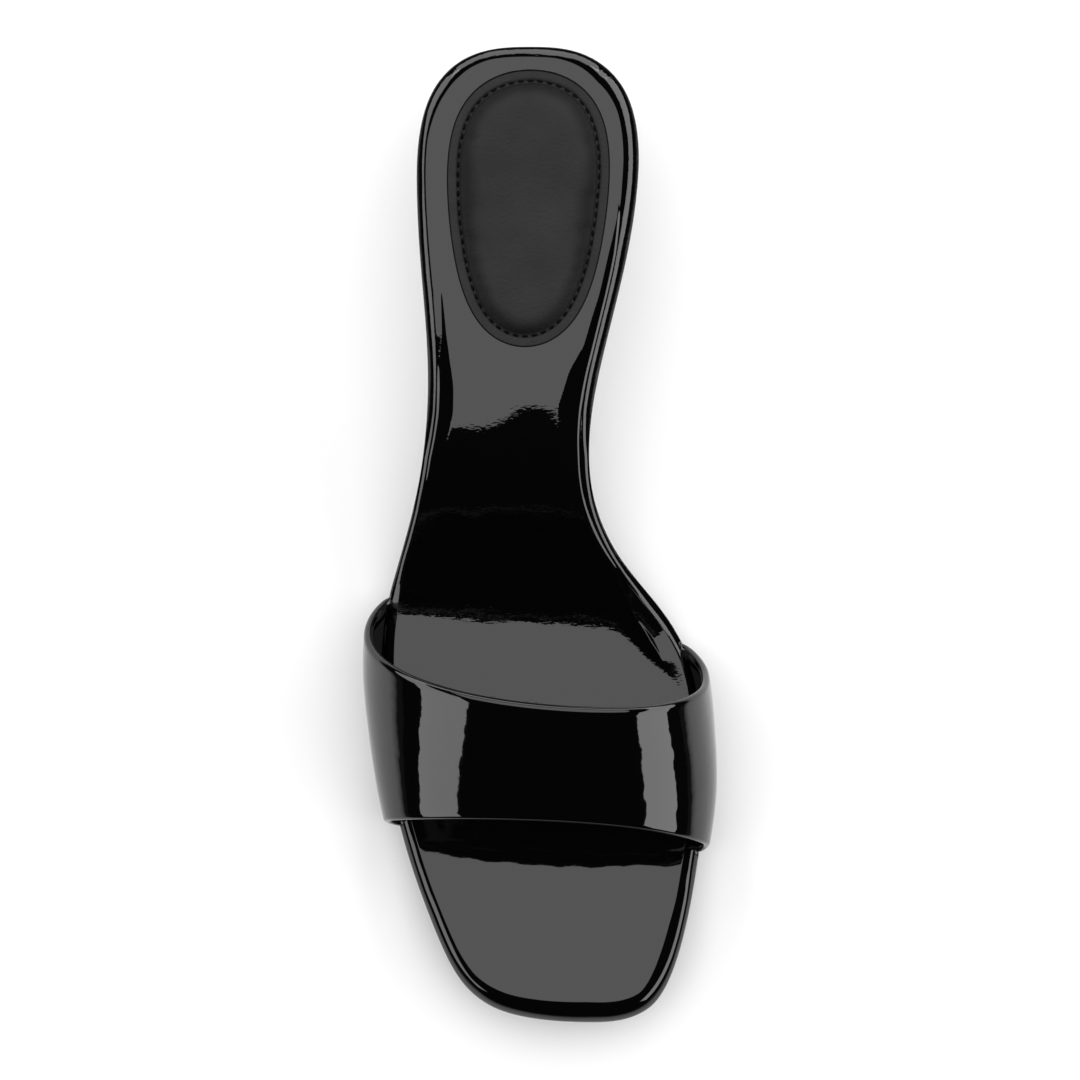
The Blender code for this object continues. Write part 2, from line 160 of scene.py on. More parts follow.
# Points and quads to a smooth mesh. marks are values that a material reads at each point. Points that
# coincide become one, holes are filled where asked, and faces turn outwards.
def smoothMesh(name, points, quads, fill=False, marks=None, weld=1e-6):
    mesh = bpy.data.meshes.new(name)
    mesh.from_pydata(points.reshape(-1, 3).tolist(), [], quads.reshape(-1, 4).tolist())
    for mark, values in (marks or {}).items():
        column = mesh.attributes.new(mark, "FLOAT", "POINT").data
        column.foreach_set("value", values.ravel().astype(np.float32))
    shape = bmesh.new()
    shape.from_mesh(mesh)
    bmesh.ops.remove_doubles(shape, verts=shape.verts, dist=weld)
    if fill:
        bmesh.ops.holes_fill(shape, edges=[edge for edge in shape.edges if edge.is_boundary])
    bmesh.ops.recalc_face_normals(shape, faces=shape.faces)
    shape.to_mesh(mesh)
    shape.free()
    mesh.shade_smooth()
    return mesh


# Grid of points (rows x columns x 3) to a smooth mesh. closed joins the last row to the first, and ringed
# the last column to the first.
def gridMesh(name, grid, closed=False, ringed=False, **more):
    rows, wide = grid.shape[:2]
    index = np.arange(rows * wide).reshape(rows, wide)
    if closed:
        index = np.concatenate([index, index[:1]])
    if ringed:
        index = np.concatenate([index, index[:, :1]], axis=1)
    quads = np.stack([index[:-1, :-1], index[1:, :-1], index[1:, 1:], index[:-1, 1:]], axis=-1)
    return smoothMesh(name, grid, quads, **more)


# Mesh to a piece of the shoe, in its material, standing for a solid where it names one
def addPiece(mesh, material, node=None):
    piece = bpy.data.objects.new(mesh.name, mesh)
    bpy.context.scene.collection.objects.link(piece)
    mesh.materials.append(material)
    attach(piece, "root")
    if node:
        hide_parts(node)
    print("piece:", piece.name, len(mesh.polygons), "faces")
    return piece


# Rounds the edges of a piece that turn more than the angle
def softenEdges(piece, width, angle=40, segments=3):
    rounding = piece.modifiers.new("softened edge", "BEVEL")
    rounding.width = width
    rounding.segments = segments
    rounding.limit_method = "ANGLE"
    rounding.angle_limit = np.radians(angle)


# sRGB hex to linear: c / 12.92 for dark values, else ((c + 0.055) / 1.055) ^ 2.4
def linear(hexColour):
    c = np.array([int(hexColour[i:i + 2], 16) for i in (1, 3, 5)]) / 255
    return (*np.where(c <= 0.04045, c / 12.92, ((c + 0.055) / 1.055) ** 2.4), 1.0)


# Adds one node: a setting goes to the input of that name, a ramp to its stops, anything else to the node
def addNode(tree, kind, settings=None, links=None):
    node = tree.nodes.new("ShaderNode" + kind)
    for name, value in (settings or {}).items():
        if name == "ramp":
            for stop, (where, hexColour) in zip(node.color_ramp.elements, value):
                stop.position, stop.color = where, linear(hexColour)
        elif name in node.inputs:
            node.inputs[name].default_value = value
        else:
            setattr(node, name, value)
    for name, source in (links or {}).items():
        tree.links.new(source, node.inputs[name])
    return node


# A new material with its shader set, and the place on the piece that its patterns read
def newMaterial(name, settings):
    material = bpy.data.materials.new(name)
    material.use_nodes = True
    tree = material.node_tree
    shader = tree.nodes["Principled BSDF"]
    for socket, value in settings.items():
        shader.inputs[socket].default_value = value
    return material, tree, shader, addNode(tree, "TexCoord").outputs["Object"]


# Noise of a size in metres, read at a place on the piece
def addNoise(tree, size, place, detail=1.0):
    return addNode(tree, "TexNoise", {"Scale": 1 / size, "Detail": detail}, {"Vector": place}).outputs["Fac"]


# Patent leather: black leather flooded with a clear film. A near mirror, whose reflections have ragged
# edges because the film follows the fine grain and slow waves of the skin below. Stretched over the strap
# it is wavier, laid on the insole it keeps the grain, which runs across the shoe. Towards the toe the film
# is thicker and hides most of the grain.
patentFilm = {"Base Color": linear("#030303"), "Roughness": 0.035, "IOR": 1.5}
patentLooks = {
    "strap": {"wave": 0.0050, "waveDepth": 5.0e-5, "grain": 0.0012, "grainDepth": 5e-6, "stretch": 1.0},
    "insole": {"wave": 0.0110, "waveDepth": 2.0e-4, "grain": 0.0007, "grainDepth": 1.5e-5, "stretch": 0.5},
}
# Grain left, by place along the shoe
toeFilm = {"From Min": -0.070, "From Max": -0.050, "To Min": 0.15, "To Max": 1.0}


def patentLeather(use, look):
    material, tree, shader, place = newMaterial("black patent leather, " + use, patentFilm)
    along = addNode(tree, "Mapping", {"Scale": (look["stretch"], 1, 1)}, {"Vector": place})
    wave = addNoise(tree, look["wave"], place)
    grain = addNoise(tree, look["grain"], along.outputs["Vector"])
    slow = addNode(tree, "Bump", {"Distance": look["waveDepth"]}, {"Height": wave})
    split = addNode(tree, "SeparateXYZ", links={"Vector": place})
    left = addNode(tree, "MapRange", toeFilm, {"Value": split.outputs["Y"]})
    fine = addNode(tree, "Bump", {"Distance": look["grainDepth"]}, {
        "Height": grain, "Normal": slow.outputs["Normal"], "Strength": left.outputs["Result"],
    })
    tree.links.new(fine.outputs["Normal"], shader.inputs["Normal"])
    return material


# Matte sock leather: black sheepskin over thin foam, with a fine pebble. Painted shade darkens the skin where
# it drops to the seam. Its cut edge is quite dull, and painted near black as painted shade along the pad's
# edge.
sockLook = {
    "shader": {"Specular IOR Level": 0.10},
    # Tones of the skin: dark is painted shade for the slopes down to the seam, the other is the skin's own
    # tone
    "dark": [(0.35, "#0e0e0f"), (0.65, "#131314")], "skinTone": [(0.35, "#212122"), (0.65, "#262627")],
    "patch": 0.012, "patchDetail": 3.0, "pebble": 0.0007, "pebbleDetail": 2.0, "pebbleDepth": 1.6e-4,
    # The edge colour is painted shade for the dark line along the pad's edge
    "edgeShadeColour": "#030303", "roughs": {"To Min": 0.50, "To Max": 0.95},  # from the skin to its cut edge
}


def sockLeather():
    material, tree, shader, place = newMaterial("matte black leather", sockLook["shader"])
    patch = addNoise(tree, sockLook["patch"], place, sockLook["patchDetail"])
    dark, skinTone = (
        addNode(tree, "ValToRGB", {"ramp": sockLook[name]}, {"Fac": patch}).outputs["Color"]
        for name in ("dark", "skinTone")
    )
    drop, cut = (
        addNode(tree, "Attribute", {"attribute_name": name}).outputs["Fac"] for name in ("drop", "cut")
    )
    # Painted shade: the skin's own tone is mixed to the dark one where drop marks the slopes down to the seam
    withPaintedShade = addNode(tree, "MixRGB", links={"Fac": drop, "Color1": skinTone, "Color2": dark}).outputs["Color"]
    # Painted shade: the cut edge is painted near black for the dark line of shade along the pad's edge
    edgeShade = {"Color2": linear(sockLook["edgeShadeColour"])}
    paintedShadeColour = addNode(tree, "MixRGB", edgeShade, {"Fac": cut, "Color1": withPaintedShade})
    rough = addNode(tree, "MapRange", sockLook["roughs"], {"Value": cut})
    pebble = addNoise(tree, sockLook["pebble"], place, sockLook["pebbleDetail"])
    bump = addNode(tree, "Bump", {"Distance": sockLook["pebbleDepth"]}, {"Height": pebble})
    tree.links.new(paintedShadeColour.outputs["Color"], shader.inputs["Base Color"])
    tree.links.new(rough.outputs["Result"], shader.inputs["Roughness"])
    tree.links.new(bump.outputs["Normal"], shader.inputs["Normal"])
    return material


# Plain black materials, each with one pattern that gives its bump and its ramps of colour or roughness
plainLooks = {
    # Split leather, dyed and left raw: dull, with a short nap
    "black lining leather": {
        "shader": {"Roughness": 0.75, "Specular IOR Level": 0.1},
        "kind": "TexNoise", "size": 0.0005, "pattern": {"Detail": 3.0}, "depth": 5e-5,
        "ramps": {"Base Color": [(0.3, "#0e0e0e"), (0.7, "#161616")]},
    },
    # Pressed vegetable-tanned leather with a burnished finish: half dull, with fine fibres
    "black sole leather": {
        "shader": {"IOR": 1.45},
        "kind": "TexNoise", "size": 0.0012, "pattern": {"Detail": 4.0}, "depth": 2e-5,
        "ramps": {
            "Base Color": [(0.35, "#101010"), (0.7, "#1a1a1a")],
            "Roughness": [(0.3, "#5a5a5a"), (0.7, "#8c8c8c")],
        },
    },
    # Moulded rubber: dull, with the fine sparkle of a spark-eroded mould
    "black rubber": {
        "shader": {"Roughness": 0.7, "IOR": 1.5},
        "kind": "TexNoise", "size": 0.0004, "pattern": {"Detail": 2.0}, "depth": 3e-5,
        "ramps": {"Base Color": [(0.4, "#141414"), (0.6, "#1c1c1c")]},
    },
    # Bonded thread of two twisted strands: darker than the leather. A wave repeats three times in its size.
    "black polyester thread": {
        "shader": {"Roughness": 0.5, "Specular IOR Level": 0.04},
        "kind": "TexWave", "size": 0.00315, "pattern": {"Distortion": 2.0}, "depth": 6e-5,
        "ramps": {"Base Color": [(0.2, "#020202"), (0.8, "#050505")]},
    },
}


def plainMaterial(name, look):
    material, tree, shader, place = newMaterial(name, look["shader"])
    settings = {"Scale": 1 / look["size"], **look["pattern"]}
    pattern = addNode(tree, look["kind"], settings, {"Vector": place}).outputs["Fac"]
    for socket, stops in look["ramps"].items():
        ramp = addNode(tree, "ValToRGB", {"ramp": stops}, {"Fac": pattern})
        tree.links.new(ramp.outputs["Color"], shader.inputs[socket])
    bump = addNode(tree, "Bump", {"Distance": look["depth"]}, {"Height": pattern})
    tree.links.new(bump.outputs["Normal"], shader.inputs["Normal"])
    return material


strapPatent, insolePatent = (patentLeather(use, look) for use, look in patentLooks.items())
sockSkin = sockLeather()
liningSkin, soleSkin, rubber, thread = (plainMaterial(name, look) for name, look in plainLooks.items())
print("materials made")

# Outsole: a thin layer from toe to heel breast
outsole = {
    "thick": 0.0030, "corner": 0.0006, "treadWear": 0.0006,
    "flat": (0.007, 0.003),  # rings inside the corner, by distance from the edge
    "spineEnd": 18.0,  # row where the middle line stops before the toe
    "rows": 240, "cornerSteps": 4, "fillSteps": 8,
}


# Top of the outsole: the sole line plus its thickness
def outsoleOver(y):
    return soleLine(y) + outsole["thick"]


# Its underside: the sole line less the wear of the tread, and never below the floor
def outsoleUnder(y):
    return np.maximum(soleLine(y) - outsole["treadWear"], 0)


# Middle of the sole at each ring row, kept away from its two ends
def spineAt(ringRow, first, last):
    row = np.clip(np.minimum(ringRow, 2 * lastRow - ringRow), first, last)
    return (edgeAt(row) + edgeAt(2 * lastRow - row)) / 2


# Profile carried round the edge from breast to breast: from the spine below, out round the edge and back to
# the spine above. The breast end is squared off and filled.
def outsoleMesh():
    half = evenRows(breastRow, lastRow, outsole["rows"])
    ring = np.concatenate([half, 2 * lastRow - half[-2::-1]])
    turn = np.linspace(0, np.pi / 2, outsole["cornerSteps"] + 1)
    flat = np.array(outsole["flat"])
    rounded = outsole["corner"] * (1 - np.sin(turn))
    inset = np.concatenate([flat, rounded, rounded[::-1], flat[::-1]])
    rise = outsole["corner"] * (1 - np.cos(turn)) / outsole["thick"]
    lift = np.concatenate([0 * flat, rise, 1 - rise[::-1], 0 * flat + 1])
    skirt = edgeAt(np.broadcast_to(ring[:, None], (len(ring), len(inset))), inset)
    spine = spineAt(ring, breastRow, outsole["spineEnd"])
    fill = np.linspace(0, 1, outsole["fillSteps"] + 1)[None, 1:, None]
    bottom = skirt[:, :1] * (1 - fill) + spine[:, None] * fill
    plan = np.concatenate([bottom[:, ::-1], skirt, bottom], axis=1)
    share = np.concatenate([np.zeros(outsole["fillSteps"]), lift, np.ones(outsole["fillSteps"])])
    plan[[0, -1], :, 1] = shoe["length"] / 2 - shoe["breast"]
    low = outsoleUnder(plan[..., 1])
    height = low + (outsoleOver(plan[..., 1]) - low) * share
    return gridMesh("outsole", np.concatenate([plan, height[..., None]], axis=-1), fill=True)


addPiece(outsoleMesh(), soleSkin, "outsole")

# Strap over the ball of the foot. Sections give its widest points, their height, the crown of its outer face
# and how far that leans to the medial side, edges where its rear and front run by the turn from the lateral
# side.
strap = {
    "wall": 0.0022,  # at the folded edges
    "skin": 0.0016,  # between them, where the lining lies under it
    "foldWide": 0.0032, "foldRamp": 0.0012,
    "full": 0.10,  # how much squarer than an oval a section is
    "footOut": 0.0005, "bend": 0.0030, "tab": 0.0095,
    "turns": 220, "strips": 40, "bendSteps": 10, "rollSteps": 12,
    "settles": 8,  # rounds that find where each foot starts
}
strapSections = columns("along lateral medial widest crown lean", [
    (0.1326, -0.0424, 0.0345, 0.0215, 0.0628, 0.0072),
    (0.1506, -0.0437, 0.0413, 0.0182, 0.0549, 0.0062),
    (0.1656, -0.0425, 0.0432, 0.0158, 0.0478, 0.0048),
    (0.1806, -0.0403, 0.0437, 0.0140, 0.0412, 0.0030),
    (0.1976, -0.0366, 0.0415, 0.0132, 0.0338, 0.0010),
])
strapEdges = columns("turn rear front", [
    (-25.0, 0.1316, 0.1911),
    (0.0, 0.1408, 0.1892),
    (30.0, 0.1496, 0.1882),
    (60.0, 0.1562, 0.1877),
    (90.0, 0.1596, 0.1882),
    (120.0, 0.1596, 0.1903),
    (150.0, 0.1564, 0.1932),
    (180.0, 0.1509, 0.1953),
    (205.0, 0.1436, 0.1980),
])
sectionCurve = curveThrough(strapSections["along"], np.stack(list(strapSections.values())[1:], axis=1))
strapEdgeCurve = curveThrough(
    np.radians(strapEdges["turn"]), np.stack([strapEdges["rear"], strapEdges["front"]], axis=1)
)


# Underside of the insole: the top of the outsole plus the gap
def insoleUnder(y):
    return outsoleOver(y) + shoe["gap"]


# The strap's lateral, medial, widest, crown and lean at a place along the shoe
def strapSection(y):
    return np.moveaxis(sectionCurve(shoe["length"] / 2 - y)[0], -1, 0)


# Sideways place of the sole's edge at a place along the shoe, between many of its points
def soleEdgeX(y, medial, count=1200):
    rows = np.linspace(breastRow, lastRow, count)
    points = edgeAt(2 * lastRow - rows if medial else rows)
    return np.interp(-y, -points[:, 1], points[:, 0])


# Outer face of the strap: x = middle - half * cos * (1 + full * sin^2) + lean * sin^2 and
# z = widest + rise * sin. Below its widest points x draws in to the sole's edge with 1 - cos.
def strapPoint(turn, y):
    lateral, medial, widest, crown, lean = strapSection(y)
    rise = crown - widest
    middle = (lateral + medial) / 2
    half = (medial - lateral) / 2
    x = middle - half * np.cos(turn) * (1 + strap["full"] * np.sin(turn) ** 2)
    x = x + lean * np.sin(turn) ** 2
    footTurn = np.arcsin((widest - insoleUnder(y)) / rise)
    tuck = (1 - np.abs(np.cos(turn))) / (1 - np.cos(footTurn))
    lowLateral = lateral + (soleEdgeX(y, False) - strap["footOut"] - lateral) * tuck
    lowMedial = medial + (soleEdgeX(y, True) + strap["footOut"] - medial) * tuck
    x = np.where(turn < 0, lowLateral, np.where(turn > np.pi, lowMedial, x))
    return np.stack([x, y, widest + rise * np.sin(turn)], axis=-1)


# Outer face as a grid, turns x across, from one tab round the arch to the other. narrow draws its two edges
# in. Each foot is a curve pulled to the corner where the face meets the outsole, and then runs flat under
# the insole.
def strapGrid(narrow, tabs=True):
    across = np.linspace(0, 1, strap["strips"] + 1)

    def alongStrap(turn):
        rear, front = np.moveaxis(strapEdgeCurve(turn)[0], -1, 0)
        return shoe["length"] / 2 - (rear + narrow + (front - rear - 2 * narrow) * across)

    starts = []
    for medial in (False, True):
        turn = np.full_like(across, np.pi if medial else 0.0)
        for settle in range(strap["settles"]):
            y = alongStrap(turn)
            widest, crown = strapSection(y)[2:4]
            below = np.arcsin((widest - insoleUnder(y) - strap["bend"]) / (crown - widest))
            turn = np.pi + below if medial else -below
        starts.append(turn)
    turns = starts[0] + (starts[1] - starts[0]) * np.linspace(0, 1, strap["turns"] + 1)[:, None]
    arch = strapPoint(turns, alongStrap(turns))
    if not tabs:
        return arch
    feet = []
    for top, fall, inward in ((arch[0], arch[0] - arch[1], 1), (arch[-1], arch[-1] - arch[-2], -1)):
        corner = top + fall * ((insoleUnder(top[:, 1]) - top[:, 2]) / fall[:, 2])[:, None]
        corner[:, 2] = insoleUnder(corner[:, 1])
        turned = corner + np.array([inward * strap["bend"], 0, 0])
        end = corner + np.array([inward * strap["tab"], 0, 0])
        share = np.linspace(0, 1, strap["bendSteps"] + 1)[1:, None, None]
        curve = top * (1 - share) ** 2 + corner * 2 * share * (1 - share) + turned * share**2
        feet.append(np.concatenate([curve, [(turned + end) / 2, end]]))
    return np.concatenate([feet[0][::-1], arch, feet[1]])


# Unit step across a grid, square to its outward normal, and that normal
def gridNormals(grid):
    along = np.gradient(grid, axis=0)
    across = np.gradient(grid, axis=1)
    normal = np.cross(across, along)
    across -= normal * (across * normal).sum(-1, keepdims=True) / (normal**2).sum(-1, keepdims=True)
    unit = [v / np.linalg.norm(v, axis=-1, keepdims=True) for v in (across, normal)]
    return unit[0], unit[1] * np.sign(unit[1][len(grid) // 2, 0, 2])


# Half circles round the front and rear edges of a band: heart + radius * (normal * cos + outward * sin)
def rolledEdges(heart, across, normal, radius, steps):
    turn = np.linspace(0, np.pi, steps + 1)[:, None]
    return [
        heart[:, None, edge] + radius * (
            normal[:, None, edge] * np.cos(turn) + way * across[:, None, edge] * np.sin(turn)
        )
        for edge, way in ((-1, 1), (0, -1))
    ]


# Closed profile carried round the arch: outer face, half a circle round the front edge, inner face drawn
# back by the wall, half a circle round the rear edge. Between the folds the inner face leaves room for the
# lining.
def strapMesh():
    radius = strap["wall"] / 2
    grid = strapGrid(radius)
    across, normal = gridNormals(grid)
    width = np.linalg.norm(np.diff(grid, axis=1), axis=-1).sum(axis=1)[:, None]
    reach = np.linspace(0, 1, grid.shape[1])
    toEdge = np.minimum(reach, 1 - reach) * width
    thinner = softStep(toEdge - strap["foldWide"], strap["foldRamp"])
    depth = strap["wall"] + (strap["skin"] - strap["wall"]) * thinner
    inner = grid - normal * depth[..., None]
    rolls = rolledEdges(grid - normal * radius, across, normal, radius, strap["rollSteps"])
    front, rear = (roll[:, 1:-1] for roll in rolls)
    profile = np.concatenate([grid, front, inner[:, ::-1], rear[:, ::-1]], axis=1)
    return gridMesh("upper", profile, ringed=True, fill=True)


addPiece(strapMesh(), strapPatent, "upper")

# Lining under the strap, between its folded edges
lining = {"thick": 0.00055, "setBack": 0.0034, "clear": 0.00004, "rollSteps": 6}


# Thin closed profile on the strap's inner face: from skin to skin + thick, with half-round edges
def liningMesh():
    grid = strapGrid(lining["setBack"], tabs=False)
    across, normal = gridNormals(grid)
    radius = lining["thick"] / 2
    heart = grid - normal * (strap["skin"] + lining["clear"] + radius)
    front, rear = rolledEdges(heart, across, normal, radius, lining["rollSteps"])
    outer = heart[:, 1:-1] + normal[:, 1:-1] * radius
    inner = heart[:, 1:-1] - normal[:, 1:-1] * radius
    profile = np.concatenate([outer, front, inner[:, ::-1], rear[:, ::-1]], axis=1)
    return gridMesh("strap_lining", profile, ringed=True, fill=True)


addPiece(liningMesh(), liningSkin)

# Insole: wrapped board with a soft edge. From the edge inwards the wrap turns over, less and less steep, to
# a rim, and from the rim a sloping band climbs to the padding in the middle.
insole = {
    "thick": 0.0050, "corner": 0.0010,
    "turnSlopes": (1.25, 0.80, 0.37, 0.345),  # at the widths floor, dark, strip and rim below
    "floorShare": 0.7,  # the steep start takes at most this share of the dark turn
    "soft": 0.0003,
    "lipSlope": 0.20, "lipWide": 0.0002,  # a slight ridge where the band starts from the rim
    "notch": 0.0019, "notchTop": 0.72,  # the strap's feet press in this far, up to this share of the side
    "notchReach": 4, "recessReach": 11,  # how far in the feet and their tabs reach, in corners
    "slant": 9.0, "sideRamp": 0.0060, "recessRamp": 0.0005, "recessSoft": 0.0006,
    "spineRows": (4.2, 17.2),  # the middle line runs between these rows
    "rows": 300, "edgeSteps": (4, 3, 5, 4, 5, 2, 4, 6, 5), "fillSteps": 22,
}
# Underside and side, from the middle outwards: distance from the edge in corners, and share of the side
insoleWall = columns("corners share", [
    (12, 0), (10.5, 0), (9.5, 0), (4, 0), (1, 0), (0.35, 0.2), (0.08, 0.6),
])
# How steep the edge starts, how far in it stays that steep and how far the wrap stands out, in millimetres,
# and how much steeper the end of the turn is at the heel's corners, or flatter along the arch
edgeStarts = columns("row steep floor out corner", [
    (0, 1.25, 0.2, 0.35, 1.01),
    (1.2, 1.25, 0.2, 0.33, 1.03),
    (2.4, 1.25, 0.2, 0.31, 1.11),
    (3.4, 1.25, 0.2, 0.25, 1.06),
    (5, 1.25, 0.2, 0.05, 1.0),
    (7.5, 1.25, 0.2, 0.05, 1.0),
    (8.3, 0.95, 0.2, 0.05, 0.6),
    (9.1, 0.95, 0.2, 0.05, 0.3),
    (10.1, 0.95, 0.3, -0.1, 0.3),
    (10.6, 0.95, 0.3, -0.1, 1.0),
    (11.9, 0.95, 0.3, -0.1, 1.0),
    (12.8, 2.6, 0.45, -0.1, 1.0),
    (17.5, 2.6, 0.45, -0.1, 1.0),
    (19, 2.2, 0.45, 0.05, 1.0),
    (21, 2.2, 0.45, 0.05, 1.0),
])
# Widths from the edge in millimetres: ends of the dark turn, the bright strip and the rim, and of the
# sloping band with its slope
lateralEdge = columns("row dark strip rim start end slope", [
    (0, 0.42, 1.70, 2.50, 4.8, 4.8, 0.37),
    (1.2, 0.42, 1.65, 2.45, 4.8, 4.8, 0.37),
    (2.4, 0.75, 2.15, 2.95, 4.8, 4.8, 0.37),
    (3.1, 0.80, 2.35, 2.95, 4.8, 4.8, 0.37),
    (3.6, 0.75, 1.95, 2.60, 4.8, 4.8, 0.37),
    (4.2, 1.15, 1.75, 2.10, 4.8, 4.8, 0.37),
    (4.9, 1.35, 1.85, 2.15, 4.8, 4.8, 0.37),
    (5.4, 1.20, 2.00, 2.25, 4.8, 4.8, 0.37),
    (6.2, 1.15, 2.20, 2.45, 4.5, 4.5, 0.37),
    (6.4, 1.20, 2.20, 2.40, 4.1, 4.8, 0.37),
    (6.8, 1.25, 2.20, 2.40, 3.7, 5.0, 0.37),
    (7.1, 1.30, 2.10, 2.50, 2.7, 5.6, 0.37),
    (7.4, 1.40, 2.00, 2.60, 2.6, 6.4, 0.37),
    (7.7, 1.40, 1.95, 2.60, 2.6, 6.5, 0.36),
    (8.3, 0.40, 1.40, 1.75, 1.75, 5.0, 0.30),
    (9.1, 0.45, 1.30, 1.50, 1.80, 1.80, 0.30),
    (10, 0.45, 1.30, 1.50, 1.90, 1.90, 0.30),
    (11, 1.00, 1.80, 2.80, 3.5, 3.5, 0.37),
    (15.0, 1.38, 2.10, 3.00, 5.0, 5.0, 0.37),
    (15.7, 1.38, 2.30, 3.00, 5.0, 5.0, 0.37),
    (16.3, 1.50, 2.45, 3.15, 5.0, 5.0, 0.37),
    (17.1, 1.55, 2.50, 3.30, 5.0, 5.0, 0.37),
    (18.0, 2.10, 2.55, 3.75, 5.0, 5.0, 0.37),
    (19, 2.30, 3.20, 4.50, 6.0, 6.0, 0.37),
    (21, 2.40, 3.60, 5.20, 6.0, 6.0, 0.37),
])
medialEdge = columns("row dark strip rim start end slope", [
    (0, 0.42, 1.70, 2.50, 4.8, 4.8, 0.37),
    (0.7, 0.45, 1.98, 2.62, 4.8, 4.8, 0.37),
    (1.5, 0.50, 2.02, 3.20, 4.8, 4.8, 0.37),
    (2.5, 0.75, 2.70, 4.10, 4.8, 4.8, 0.37),
    (3.0, 0.95, 2.70, 3.95, 4.8, 4.8, 0.37),
    (3.6, 1.10, 2.70, 3.70, 4.8, 4.8, 0.37),
    (4.2, 1.40, 2.60, 3.75, 4.8, 4.8, 0.37),
    (4.9, 1.40, 2.70, 3.80, 4.6, 4.6, 0.37),
    (5.4, 1.45, 3.00, 3.60, 3.6, 4.2, 0.37),
    (5.9, 1.55, 2.65, 2.95, 2.95, 4.65, 0.37),
    (6.4, 1.45, 2.50, 2.80, 2.8, 4.65, 0.37),
    (7.0, 1.45, 2.45, 2.80, 2.8, 5.3, 0.37),
    (7.3, 1.50, 2.45, 2.95, 2.95, 7.2, 0.37),
    (7.7, 1.45, 2.30, 2.95, 2.95, 8.3, 0.36),
    (8.3, 0.40, 1.35, 2.55, 2.55, 7.0, 0.30),
    (8.9, 0.40, 1.35, 2.55, 2.55, 4.0, 0.27),
    (9.5, 0.50, 1.40, 2.40, 2.40, 3.2, 0.27),
    (10, 0.85, 1.65, 2.15, 2.15, 2.8, 0.30),
    (10.7, 1.30, 1.80, 2.20, 6.0, 6.0, 0.45),
    (11.2, 1.20, 1.80, 2.10, 5.6, 6.5, 0.45),
    (11.7, 1.25, 1.90, 2.20, 6.1, 6.1, 0.45),
    (15.2, 1.55, 2.00, 3.75, 5.2, 5.2, 0.37),
    (15.9, 1.20, 1.95, 3.80, 5.6, 5.6, 0.37),
    (16.5, 1.22, 2.00, 4.20, 6.0, 6.0, 0.37),
    (17.3, 1.35, 2.15, 4.40, 6.0, 6.0, 0.37),
    (19, 2.20, 3.20, 4.60, 6.0, 6.0, 0.37),
    (21, 2.40, 3.60, 5.20, 6.0, 6.0, 0.37),
])
# Shallow beds for the ball of the foot and the toes, a slight twist at both ends of the arch, and humps
# where the shank starts and ends
insoleDips = columns("at wide deep", [
    (-0.0225, 0.0145, 0.0010),
    (-0.0700, 0.0110, 0.0012),
])
insoleTwists = columns("at wide middle twist", [
    (-0.0204, 0.022, 0.0, 1.8),
    (0.0296, 0.012, 0.0126, 0.95),
])
insoleHumps = columns("at wide middle drift span slope", [
    (0.0296, 0.0100, -0.0029, 0.0, 0.0060, 0.038),
    (-0.0285, 0.0115, 0.0290, -0.42, 0.0045, 0.17),
])


# Top of the insole: even thickness, less deep * e^(-(d / wide)^2) for each bed. A twist adds
# twist * x * d * e^(-(d / wide)^2), and a hump slope * d * e^(-(d / wide)^2 - (x / span)^2), with its middle
# moved aside by drift * d.
def insoleOver(x, y):
    top = insoleUnder(y) + insole["thick"]
    for at, wide, deep in zip(*insoleDips.values()):
        top = top - deep * np.exp(-(((y - at) / wide) ** 2))
    for at, wide, middle, twist in zip(*insoleTwists.values()):
        top = top + twist * (x - middle) * (y - at) * np.exp(-(((y - at) / wide) ** 2))
    for at, wide, middle, drift, span, slope in zip(*insoleHumps.values()):
        aside = (x - middle - drift * (y - at)) / span
        top = top + slope * (y - at) * np.exp(-(((y - at) / wide) ** 2) - aside**2)
    return top


# 1 along the strap's feet and 0 elsewhere, turning over a ramp that starts at its edges. These slant, so the
# turn at a share of the insole's thickness runs from the ends of the table towards the widest points.
def footWindow(ringRow, y, lift, ramp):
    along = shoe["length"] / 2 - y
    up = insole["slant"] * lift
    turn = np.where(ringRow > lastRow, strapEdges["turn"][-1] - up, strapEdges["turn"][0] + up)
    rear, front = np.moveaxis(strapEdgeCurve(np.radians(turn))[0], -1, 0)
    return softStep(along - rear - ramp / 2, ramp) * softStep(front - along - ramp / 2, ramp)


